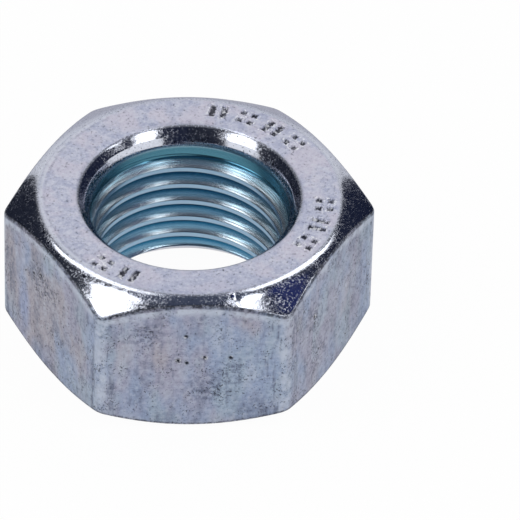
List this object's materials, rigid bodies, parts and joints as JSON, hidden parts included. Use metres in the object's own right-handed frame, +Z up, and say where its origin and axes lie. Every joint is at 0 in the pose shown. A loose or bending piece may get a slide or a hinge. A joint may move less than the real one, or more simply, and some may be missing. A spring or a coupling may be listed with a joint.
{
  "type": "hex nut",
  "caption": "Zinc-plated steel hexagon nut with a right-hand metric thread right through it, chamfered corners at both faces and a countersink at each mouth.",
  "frame": {"origin": "middle of the lower face, on the thread's axis", "axes": "+Z up along the thread's axis, -Y out through the middle of the front flat, +X out through a corner"},
  "size_m": [0.0686, 0.06, 0.031],
  "materials": {
    "zinc_plate": "blue-white zinc plate on forged and turned steel, satin on the faces and brighter on the chamfers"
  },
  "bodies": {
    "root": {"hex_nut": "zinc_plate"}
  },
  "joints": []
}
